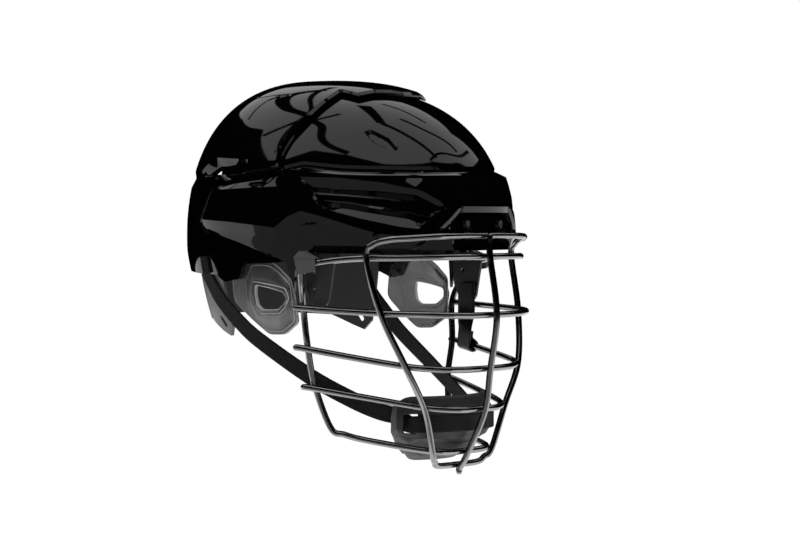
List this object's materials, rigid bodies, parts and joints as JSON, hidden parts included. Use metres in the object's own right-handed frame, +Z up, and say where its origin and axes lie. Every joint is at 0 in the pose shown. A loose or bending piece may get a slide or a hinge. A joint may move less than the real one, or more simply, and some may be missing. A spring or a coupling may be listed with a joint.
{
  "type": "box lacrosse helmet",
  "caption": "Sport helmet with a two-part sliding shell, foam liners, ear guards, hinged wire face cage and a strap-held chin cup.",
  "frame": {"origin": "midway between the two ear openings", "axes": "-Y is the way the wearer faces, +Z is up, +X is the wearer's left"},
  "size_m": [0.2162, 0.2861, 0.3046],
  "materials": {
    "shell": "gloss",
    "inner_shell": "satin",
    "ear_guard": "frosted",
    "screws": "satin",
    "studs": "satin",
    "foam": "matte",
    "plates": "satin",
    "clips": "satin",
    "wire": "gloss",
    "keeper": "satin",
    "webbing": "woven",
    "cup": "matte",
    "cup_liner": "matte"
  },
  "bodies": {
    "rear": {"rear_shell": "shell", "nape_guard": "inner_shell", "ear_guard_left": "ear_guard", "ear_guard_right": "ear_guard", "ear_guard_screws": "screws", "crown_liner": "foam", "occipital_liner": "foam", "rear_side_liner_left": "foam", "rear_side_liner_right": "foam", "strap_rivets": "screws", "adjuster_studs": "studs", "chin_strap": "webbing"},
    "front": {"front_shell": "shell", "brow_liner": "foam", "front_crown_liner": "foam", "temple_liner_left": "foam", "temple_liner_right": "foam", "temple_plate_left": "plates", "temple_plate_right": "plates", "side_clip_left": "clips", "side_clip_right": "clips", "side_clip_screws": "screws", "hinge_clip_left": "clips", "hinge_clip_right": "clips", "hinge_clip_screws": "screws", "strap_stud": "studs"},
    "cage": {"brow_loop": "wire", "rim_wire": "wire", "upper_bar": "wire", "middle_bar": "wire", "lower_bar": "wire", "centre_bar": "wire", "retaining_strap": "keeper"},
    "cup": {"chin_cup": "cup", "chin_cup_liner": "cup_liner"}
  },
  "joints": [
    {"name": "length_slide", "type": "slide", "parent": "rear", "child": "front", "axis": [0, -1, 0], "range_m": [0, 0.006]},
    {"name": "cage_hinge", "type": "hinge", "parent": "front", "child": "cage", "pos_m": [0, -0.13028, 0.0478], "axis": [-1, 0, 0], "range_deg": [0, 100]},
    {"name": "cup_tilt", "type": "hinge", "parent": "rear", "child": "cup", "pos_m": [0, -0.1, -0.088], "axis": [1, 0, 0], "range_deg": [0, 5]}
  ]
}
